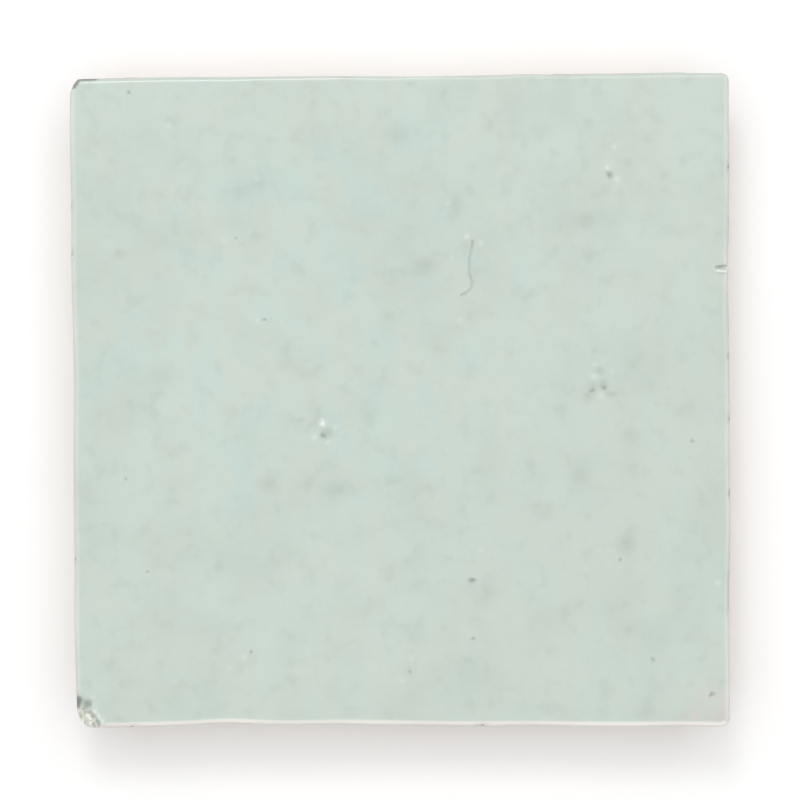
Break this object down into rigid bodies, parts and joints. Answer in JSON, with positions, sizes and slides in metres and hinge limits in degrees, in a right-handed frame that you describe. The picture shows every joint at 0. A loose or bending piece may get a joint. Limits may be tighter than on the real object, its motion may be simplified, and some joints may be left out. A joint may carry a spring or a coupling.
{
  "type": "zellige tile",
  "caption": "Hand-cut square zellige wall tile with an uneven pale mint glazed face, sides cut back behind the face and a flat clay back",
  "frame": {"origin": "Middle of the flat back, on the plane that the tile lies on", "axes": "+Z points out of the glazed face, +X runs along the lower side of the face to the right and +Y up its left side"},
  "size_m": [0.1008, 0.1, 0.012],
  "materials": {
    "pale_mint_glaze": "gloss"
  },
  "bodies": {
    "root": {"zellige_tile": "pale_mint_glaze"}
  },
  "joints": []
}
